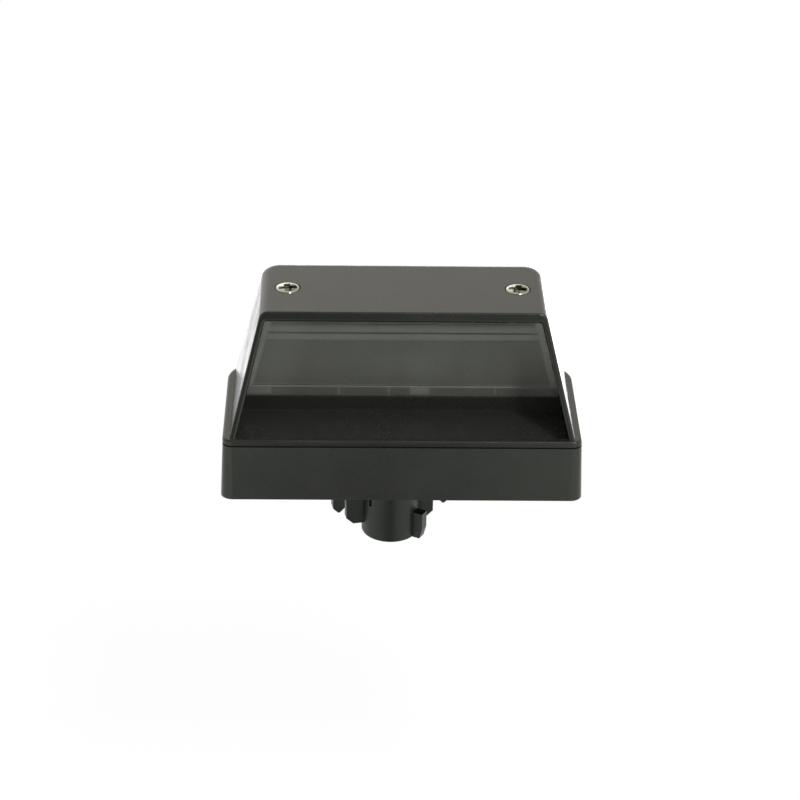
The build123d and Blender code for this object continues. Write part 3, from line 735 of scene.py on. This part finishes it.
def mould_grain():
    """Grain of a spark-finished mould: fine noise with small pits, and a slow swell under it."""
    tree, given, result = effect_group("mould_grain", {"Scale": 4000.0, "Swell": 0.3}, ("Height", "Pits"))
    place = object_place(tree)
    fine = noise(tree, place, given["Scale"], 3.0, 0.6)
    wide = times(tree, given["Scale"], 0.55)
    cells = add_node(tree, "ShaderNodeTexVoronoi", vector=place, scale=wide)
    pits = spread(tree, cells.outputs["Distance"], 0.0, 0.28, 1.0, 0.0)
    slow = noise(tree, place, times(tree, given["Scale"], 0.03), 2.0, 0.5)
    swelled = plus(tree, fine, times(tree, slow, given["Swell"]))
    feed(tree, result["Height"], minus(tree, swelled, times(tree, pits, 0.35)))
    feed(tree, result["Pits"], pits)
    return tree


def handling():
    """Marks of handling: cloudy smudges, dust that lies on upward faces, and fine scratches."""
    tree, given, result = effect_group(
        "handling", {"Scale": 60.0, "Dust": 0.3}, ("Smudge", "Dust", "Scratch")
    )
    place = object_place(tree)
    clouds = noise(tree, place, given["Scale"], 5.0, 0.6)
    upward = spread(tree, axes(tree, surface_normal(tree))["Z"], 0.3, 0.95)
    specks = spread(tree, noise(tree, place, 2600.0, 2.0, 0.7), 0.5, 0.78)
    lines = noise(tree, stretched(tree, place, (1.0, 14.0, 14.0), 0.5), 260.0, 2.0, 0.5)
    scratch = spread(tree, maths(tree, "ABSOLUTE", minus(tree, lines, 0.5)), 0.0, 0.02, 1.0, 0.0)
    feed(tree, result["Smudge"], spread(tree, clouds, 0.42, 0.68))
    feed(tree, result["Dust"], times(tree, times(tree, upward, specks), given["Dust"]))
    feed(tree, result["Scratch"], times(tree, scratch, spread(tree, clouds, 0.5, 0.62)))
    return tree


def rubbed_edges():
    """Rubbed edges, which the mouldings also paint paler as a highlight: where a normal that is rounded
    over a radius leaves the true one.
    """
    tree, given, result = effect_group("rubbed_edges", {"Radius": 0.0005}, ("Edge",))
    rounded = add_node(tree, "ShaderNodeBevel", {"samples": 4}, radius=given["Radius"]).outputs[0]
    product = add_node(tree, "ShaderNodeVectorMath", {"operation": "DOT_PRODUCT"})
    feed(tree, product.inputs[0], rounded)
    feed(tree, product.inputs[1], surface_normal(tree))
    worn = spread(tree, product.outputs["Value"], 0.995, 0.86)
    patchy = spread(tree, noise(tree, object_place(tree), 420.0, 3.0, 0.6), 0.35, 0.65, 0.35, 1.0)
    feed(tree, result["Edge"], times(tree, worn, patchy))
    return tree


def rolled_lines():
    """Lines of rolled or drawn metal: noise stretched across the lamp, and a mottled film."""
    tree, given, result = effect_group(
        "rolled_lines", {"Fineness": 900.0, "Mottle": 220.0}, ("Height", "Lines", "Film")
    )
    place = object_place(tree)
    lines = noise(tree, stretched(tree, place, (0.05, 1.0, 1.0)), given["Fineness"], 4.0, 0.6)
    feed(tree, result["Height"], lines)
    feed(tree, result["Lines"], spread(tree, lines, 0.35, 0.65))
    feed(tree, result["Film"], spread(tree, noise(tree, place, given["Mottle"], 4.0, 0.6), 0.38, 0.66))
    return tree


def use_effect(tree, maker, **values):
    """What a shared effect gives in a material, with its own values. The first use makes the effect."""
    made = tree.nodes.new("ShaderNodeGroup")
    made.node_tree = bpy.data.node_groups.get(maker.__name__) or maker()
    for key, value in values.items():
        made.inputs[key].default_value = value
    return made.outputs


def emptied_tree(owner):
    """The node tree of a material or a world, with no nodes in it."""
    owner.use_nodes = True
    owner.node_tree.nodes.clear()
    return owner.node_tree


def new_material(name):
    """A material with a plain Principled shader: itself, its tree and the shader's inputs."""
    material = bpy.data.materials.new(name)
    tree = emptied_tree(material)
    shader = add_node(tree, "ShaderNodeBsdfPrincipled")
    add_node(tree, "ShaderNodeOutputMaterial", surface=shader.outputs["BSDF"])
    return material, tree, shader.inputs


def bump(tree, shader, height, depth):
    """Raises a shader's surface by a height from 0 to 1 times a depth in metres."""
    made = add_node(tree, "ShaderNodeBump", height=height, distance=depth)
    feed(tree, shader["Normal"], made.outputs[0])


def shaded(base, share, lift=0.0):
    """A colour made darker or brighter by a share, and paler by a lift."""
    return [share * part + lift for part in base]


# What each mark on a moulding adds to its roughness or takes from it
PIT_DULLING = 0.04
SCRATCH_SHINE = 0.02
DUST_DULLING = 0.4
EDGE_SHINE = 0.1


def moulded_black(name, base, grain, grain_depth, roughness, dust, edge, dust_colour):
    """A black moulding: grain, slow swells, rubbed edges painted paler as wear and as a painted highlight,
    smudges in the gloss, and a little dust.
    """
    material, tree, shader = new_material(name)
    grained = use_effect(tree, mould_grain, Scale=grain)
    handled = use_effect(tree, handling, Dust=dust)
    worn_highlit = use_effect(tree, rubbed_edges)
    tone = noise(tree, object_place(tree), 90.0, 3.0, 0.6)
    shade = mix_colours(tree, tone, shaded(base, 0.82), shaded(base, 1.2))
    # Edges painted paler: rubbed wear, and a painted highlight on the rounded edges
    edged = mix_colours(tree, times(tree, worn_highlit["Edge"], edge), shade, shaded(base, 1.9, 0.008))
    feed(tree, shader["Base Color"], mix_colours(tree, handled["Dust"], edged, dust_colour))
    gloss = spread(tree, handled["Smudge"], 0.0, 1.0, roughness - 0.035, roughness + 0.05)
    gloss = plus(tree, gloss, times(tree, grained["Pits"], PIT_DULLING))
    gloss = minus(tree, gloss, times(tree, handled["Scratch"], SCRATCH_SHINE))
    gloss = plus(tree, gloss, times(tree, handled["Dust"], DUST_DULLING))
    gloss = minus(tree, gloss, times(tree, worn_highlit["Edge"], EDGE_SHINE))
    feed(tree, shader["Roughness"], gloss)
    shader["IOR"].default_value = 1.5
    bump(tree, shader, grained["Height"], grain_depth)
    return material


# Dark green-grey of the grime and painted shade on plated metal, and the depth of its rolled lines
GRIME_AND_SHADE = (0.085, 0.095, 0.06)
ROLLED_DEPTH = 0.004 * MM


def plated(name, plate, film_colour, film_share, roughness):
    """A plated or rolled metal: fine lines, a mottled film and duller patches, and grime and painted shade
    by tone.
    """
    material, tree, shader = new_material(name)
    rolled = use_effect(tree, rolled_lines)
    handled = use_effect(tree, handling, Dust=0.0)
    filmed = mix_colours(tree, times(tree, rolled["Film"], film_share), plate, film_colour)
    lined = mix_colours(tree, times(tree, rolled["Lines"], 0.25), filmed, shaded(plate, 0.6))
    feed(tree, shader["Base Color"], mix_colours(tree, kept_tone(tree), lined, GRIME_AND_SHADE))
    gloss = spread(tree, handled["Smudge"], 0.0, 1.0, roughness - 0.05, roughness + 0.09)
    feed(tree, shader["Roughness"], gloss)
    shader["Metallic"].default_value = 1.0
    bump(tree, shader, rolled["Height"], ROLLED_DEPTH)
    return material


def rubber_black(base):
    """Dull rubber with a soft bloom."""
    material, tree, shader = new_material("dull_rubber")
    grained = use_effect(tree, mould_grain, Scale=2600.0)
    handled = use_effect(tree, handling, Scale=140.0, Dust=0.15)
    feed(tree, shader["Base Color"], mix_colours(tree, handled["Smudge"], base, shaded(base, 1, 0.004)))
    feed(tree, shader["Roughness"], spread(tree, grained["Pits"], 0.0, 1.0, 0.62, 0.8))
    shader["Specular IOR Level"].default_value = 0.2
    bump(tree, shader, grained["Height"], 0.02 * MM)
    return material


def clear_moulding(colours):
    """The lens: a clear moulding whose tone, with its painted light and shade, follows its relief, with a
    faint haze and ripple.
    """
    material, tree, shader = new_material("hazed_lens")
    place = object_place(tree)
    drawn = stretched(tree, place, (1.0, 0.3, 0.3))
    haze = spread(tree, noise(tree, drawn, 70.0, 3.0, 0.5), 0.3, 0.7, -0.03, 0.05)
    stipple = noise(tree, place, 1900.0, 2.0, 0.6)
    specked = spread(tree, stipple, 0.3, 0.7, -0.05, 0.05)
    tone = plus(tree, plus(tree, kept_tone(tree), haze), specked)
    feed(tree, shader["Base Color"], mix_colours(tree, tone, colours.haze, colours.lens))
    feed(tree, shader["Roughness"], spread(tree, stipple, 0.3, 0.7, 0.30, 0.38))
    shader["Transmission Weight"].default_value = 0.72
    shader["IOR"].default_value = 1.49
    bump(tree, shader, noise(tree, drawn, 300.0, 2.0, 0.5), 0.02 * MM)
    return material


def blown_glass(colours):
    """The bulb's glass, with a breath of haze."""
    material, tree, shader = new_material("blown_glass")
    smudge = use_effect(tree, handling, Scale=300.0, Dust=0.0)["Smudge"]
    tinted = mix_colours(tree, times(tree, smudge, 0.5), colours.glass, shaded(colours.glass, 0.86))
    feed(tree, shader["Base Color"], tinted)
    feed(tree, shader["Roughness"], spread(tree, smudge, 0.0, 1.0, 0.01, 0.06))
    shader["Transmission Weight"].default_value = 1.0
    shader["IOR"].default_value = 1.5
    return material


MADE = {}


def finishes():
    """Every finish of the lamp by name, made the first time it is asked for."""
    if not MADE:
        group = bpy.context.scene.lamp_colours
        colours = SimpleNamespace(**{key: tuple(getattr(group, key)) for key in group.__annotations__})
        # Base colour, grain's fineness and depth, roughness, how much dust shows, and how far the edges are
        # painted paler as rubbing and highlight
        mouldings = {
            "hood_black": ("satin_hood", colours.hood, 3600.0, 0.006 * MM, 0.25, 0.10, 0.5),
            "base_black": ("grained_base", colours.base, 2200.0, 0.018 * MM, 0.30, 0.14, 0.8),
            "holder_black": ("dull_holder", colours.holder, 2600.0, 0.02 * MM, 0.42, 0.1, 0.6),
        }
        # Colour, its film's colour and share, and roughness
        metals = {
            "plated_steel": ("plated_screw", colours.zinc, colours.passivation, 0.35, 0.13),
            "bright_sheet": ("bright_reflector", colours.sheet, colours.tarnish, 0.15, 0.3),
            "contact_brass": ("contact_strip", colours.brass, colours.tarnish, 0.45, 0.26),
            "wire": ("drawn_wire", colours.wire, colours.tarnish, 0.3, 0.3),
        }
        MADE.update({name: moulded_black(*values, colours.dust) for name, values in mouldings.items()})
        MADE.update({name: plated(*values) for name, values in metals.items()})
        MADE["rubber"] = rubber_black(colours.rubber)
        MADE["lens_clear"] = clear_moulding(colours)
        MADE["bulb_clear"] = blown_glass(colours)
    return MADE


def dress(node, finish):
    """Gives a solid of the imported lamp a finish."""
    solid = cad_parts[node]
    solid.data.materials.clear()
    solid.data.materials.append(finishes()[finish])


class LAMP_OT_dress_mouldings(bpy.types.Operator):
    """Finish the hood, the base and the bulb holder"""

    bl_idname = "lamp.dress_mouldings"
    bl_label = "Mouldings"

    def execute(self, context):
        dress("hood_cover", "hood_black")
        dress("base_housing", "base_black")
        dress("bulb_holder", "holder_black")
        return {"FINISHED"}


class LAMP_OT_dress_seals(bpy.types.Operator):
    """Finish the rubber seals"""

    bl_idname = "lamp.dress_seals"
    bl_label = "Seals"

    def execute(self, context):
        for node in ("cover_seal", "lens_seal", "holder_seal", "screw_seals"):
            dress(node, "rubber")
        return {"FINISHED"}


class LAMP_OT_dress_metal(bpy.types.Operator):
    """Finish the reflector, the sleeves, the retainers and the contacts"""

    bl_idname = "lamp.dress_metal"
    bl_label = "Metalwork"

    def execute(self, context):
        dress("reflector", "bright_sheet")
        for node in ("screw_retainers", "spacer_sleeves", "reflector_screws"):
            dress(node, "plated_steel")
        for node in ("contact_live", "contact_earth"):
            dress(node, "contact_brass")
        return {"FINISHED"}


class LAMP_OT_build_lens(bpy.types.Operator):
    """Build the lens with its bands, grooves, pad and ribs"""

    bl_idname = "lamp.build_lens"
    bl_label = "Lens"

    def execute(self, context):
        shell, tone = lens_shell(context.scene.lens_sizes)
        add_piece("banded_lens", [shell], "lens_clear", "lens", tone=tone)
        return {"FINISHED"}


class LAMP_OT_build_screws(bpy.types.Operator):
    """Build the two long screws with their threads and cross recesses"""

    bl_idname = "lamp.build_screws"
    bl_label = "Long screws"

    def execute(self, context):
        sizes = context.scene.screw_sizes
        head_radius = (SCREWS_HIGH.y - SCREWS_LOW.y) / 2
        middle_y = (SCREWS_HIGH.y + SCREWS_LOW.y) / 2
        places = (SCREWS_LOW.x + head_radius, SCREWS_HIGH.x - head_radius)
        made = [screw_shell(sizes, (place, middle_y), turn) for place, turn in zip(places, SCREW_TURNS)]
        tones = np.concatenate([tone for shell, tone in made])
        shells = [shell for shell, tone in made]
        add_piece("long_screws", shells, "plated_steel", "cover_screws", tone=tones)
        return {"FINISHED"}


class LAMP_OT_build_bulb(bpy.types.Operator):
    """Build the bulb's glass and filament, and finish its leads"""

    bl_idname = "lamp.build_bulb"
    bl_label = "Bulb"

    def execute(self, context):
        sizes = context.scene.bulb_sizes
        outer = bulb_skin(sizes, 0.0, 0.0)
        hollow = bulb_skin(sizes, sizes.cavity_start, sizes.glass_wall)
        add_piece("blown_bulb", [outer, turned_inside_out(hollow)], "bulb_clear", "bulb_glass")
        add_piece("coiled_filament", [coil_shell(sizes)], "wire", "filament")
        dress("bulb_leads", "wire")
        return {"FINISHED"}


# Point that the camera looks at
AIM = Vector((-0.40, -6.3, 21.15)) * MM
# Width of the photograph's frame in pixels
FRAME_PIXELS = 800
# Half the floor's width
FLOOR_REACH = 7.0
# Tints of the room in front of the lamp and behind it, as gloss mirrors them
FRONT_TINT = (0.90, 1.0, 0.86)
BEHIND_TINT = (1.0, 0.955, 0.87)
WHITE = (1.0, 1.0, 1.0)


def mirrored(tree):
    """Light Path's factors: one for what is seen straight or through glass, one for what gloss mirrors."""
    path = tree.nodes.new("ShaderNodeLightPath").outputs
    direct = maths(tree, "MAXIMUM", path["Is Camera Ray"], path["Is Transmission Ray"])
    return direct, path["Is Glossy Ray"]


def to_sides(tree, across, start, right_rise, left_rise):
    """Brightness that rises to both sides from a start on, up to a limit, and faster on the right."""
    past_right = maths(tree, "MAXIMUM", minus(tree, across, start), 0.0)
    past_left = maths(tree, "MINIMUM", plus(tree, across, start), 0.0)
    rise = plus(tree, times(tree, past_right, right_rise), times(tree, past_left, -left_rise))
    return maths(tree, "MINIMUM", rise, 0.8)


def add_floor(settings):
    """A wide pale floor below the lamp.

    As it is seen it is mostly plain white, with the lamp's shadow in the rest. Gloss mirrors it
    darker in front of the lamp than behind it, as in a room whose light comes from behind."""
    corners = np.array([[-1, -1], [1, -1], [1, 1], [-1, 1]]) * FLOOR_REACH
    vertices = np.concatenate([corners, np.full((4, 1), -settings.floor_drop)], axis=1)
    floor = bpy.data.objects.new("floor", shaded_mesh("floor", vertices, [[0, 1, 2, 3]]))
    bpy.context.scene.collection.objects.link(floor)
    material = bpy.data.materials.new("pale_floor")
    tree = emptied_tree(material)
    direct, glossy = mirrored(tree)
    place = axes(tree, object_place(tree))
    dim = settings.floor_gloss
    nearer = spread(tree, place["Y"], -0.41, -0.28, dim + 0.10, dim - 0.17)
    front = plus(tree, nearer, to_sides(tree, place["X"], 0.03, 13.0, 8.0))
    behind = spread(tree, place["Y"], -0.05, 0.20)
    mirror = mix_values(tree, behind, front, 1.0)
    tint = mix_colours(tree, behind, FRONT_TINT, WHITE)
    shown = mix_colours(tree, glossy, WHITE, tint)
    strength = mix_values(tree, glossy, 1.0, mirror)
    plain = add_node(tree, "ShaderNodeEmission", color=shown, strength=strength)
    dull = add_node(tree, "ShaderNodeBsdfDiffuse", color=settings.floor)
    share = maths(tree, "MAXIMUM", times(tree, direct, settings.floor_share), glossy)
    mixed = tree.nodes.new("ShaderNodeMixShader")
    for socket, value in zip(mixed.inputs, (share, dull.outputs[0], plain.outputs[0])):
        feed(tree, socket, value)
    add_node(tree, "ShaderNodeOutputMaterial", surface=mixed.outputs[0])
    floor.data.materials.append(material)


def add_world(settings):
    """A white room as it is seen.

    Gloss mirrors it warm white behind the lamp and dim in front of it, and dull surfaces get a
    softer, even light."""
    world = bpy.data.worlds.new("studio")
    bpy.context.scene.world = world
    tree = emptied_tree(world)
    direct, glossy = mirrored(tree)
    towards = axes(tree, tree.nodes.new("ShaderNodeTexCoord").outputs["Generated"])
    front = plus(tree, settings.front_gloss, to_sides(tree, towards["X"], 0.05, 8.0, 0.3))
    behind = spread(tree, towards["Y"], -0.15, 0.55)
    leftwards = spread(tree, towards["X"], -0.2, 0.2, 1.30, 0.92)
    mirror = mix_values(tree, behind, front, leftwards)
    tint = mix_colours(tree, behind, FRONT_TINT, BEHIND_TINT)
    strength = mix_values(tree, direct, mix_values(tree, glossy, settings.fill_strength, mirror), 1.0)
    shown = mix_colours(tree, glossy, WHITE, tint)
    background = add_node(tree, "ShaderNodeBackground", color=shown, strength=strength)
    add_node(tree, "ShaderNodeOutputWorld", surface=background.outputs[0])


def add_key(settings):
    """The main light: a soft sun from the right, in front and above."""
    light = bpy.data.lights.new("key", "SUN")
    light.energy = settings.key_strength
    light.angle = radians(9)
    light.color = (1.0, 0.99, 0.96)
    towards = Vector((0.34, -0.5, 0.9))
    key = bpy.data.objects.new("key", light)
    key.rotation_euler = towards.to_track_quat("Z", "Y").to_euler()
    bpy.context.scene.collection.objects.link(key)


def add_back_light(settings):
    """A low panel behind the lamp that faces up, which brightens what the hood's side walls mirror."""
    light = bpy.data.lights.new("back_panel", "AREA")
    light.shape = "RECTANGLE"
    light.size = 1.3
    light.size_y = 0.7
    light.energy = settings.back_power
    panel = bpy.data.objects.new("back_panel", light)
    panel.location = (0.525, 0.62, -settings.floor_drop + 0.01)
    panel.rotation_euler = (pi, 0, 0)
    panel.visible_camera = False
    bpy.context.scene.collection.objects.link(panel)


def add_camera(settings):
    """A camera at the photograph's angle: back along the line of sight, then rolled round it."""
    turn, lift = settings.azimuth, settings.elevation
    back = Vector((sin(turn) * cos(lift), -cos(turn) * cos(lift), sin(lift)))
    right = Vector((cos(turn), sin(turn), 0))
    up = back.cross(right)
    rolled_right = cos(settings.roll) * right + sin(settings.roll) * up
    rolled_up = cos(settings.roll) * up - sin(settings.roll) * right
    data = bpy.data.cameras.new("camera")
    data.sensor_width = 36.0
    data.lens = settings.focal_pixels * data.sensor_width / FRAME_PIXELS
    data.clip_end = 30
    camera = bpy.data.objects.new("camera", data)
    turned = Matrix((rolled_right, rolled_up, back)).transposed().to_4x4()
    camera.matrix_world = Matrix.Translation(AIM + back * settings.distance) @ turned
    bpy.context.scene.collection.objects.link(camera)
    bpy.context.scene.camera = camera


class LAMP_OT_set_stage(bpy.types.Operator):
    """Set the floor, the light and the camera"""

    bl_idname = "lamp.set_stage"
    bl_label = "Stage"

    def execute(self, context):
        settings = context.scene.stage_settings
        context.scene.view_settings.view_transform = "Standard"
        add_camera(settings)
        add_floor(settings)
        add_world(settings)
        add_key(settings)
        add_back_light(settings)
        return {"FINISHED"}


OPERATORS = (
    LAMP_OT_set_stage,
    LAMP_OT_dress_mouldings,
    LAMP_OT_dress_seals,
    LAMP_OT_dress_metal,
    LAMP_OT_build_lens,
    LAMP_OT_build_screws,
    LAMP_OT_build_bulb,
)


class LAMP_PT_sidebar(bpy.types.Panel):
    """Lists the lamp's pieces and its stage"""

    bl_label = "Number plate lamp"
    bl_space_type = "VIEW_3D"
    bl_region_type = "UI"
    bl_category = "Plate lamp"

    def draw(self, context):
        for operator in OPERATORS:
            self.layout.operator(operator.bl_idname)
        for group in GROUPS:
            settings = getattr(context.scene, group)
            for key in settings.__annotations__:
                self.layout.prop(settings, key)


def register():
    for made in (*GROUPS.values(), *OPERATORS, LAMP_PT_sidebar):
        bpy.utils.register_class(made)
    for name, group in GROUPS.items():
        setattr(bpy.types.Scene, name, PointerProperty(type=group))


def unregister():
    for name in GROUPS:
        delattr(bpy.types.Scene, name)
    for made in (LAMP_PT_sidebar, *reversed(OPERATORS), *GROUPS.values()):
        bpy.utils.unregister_class(made)


def main():
    """Builds and dresses the lamp, and sets the stage."""
    register()
    bpy.ops.lamp.set_stage()
    bpy.ops.lamp.dress_mouldings()
    bpy.ops.lamp.dress_seals()
    bpy.ops.lamp.dress_metal()
    bpy.ops.lamp.build_lens()
    bpy.ops.lamp.build_screws()
    bpy.ops.lamp.build_bulb()


if __name__ == "__main__":
    main()
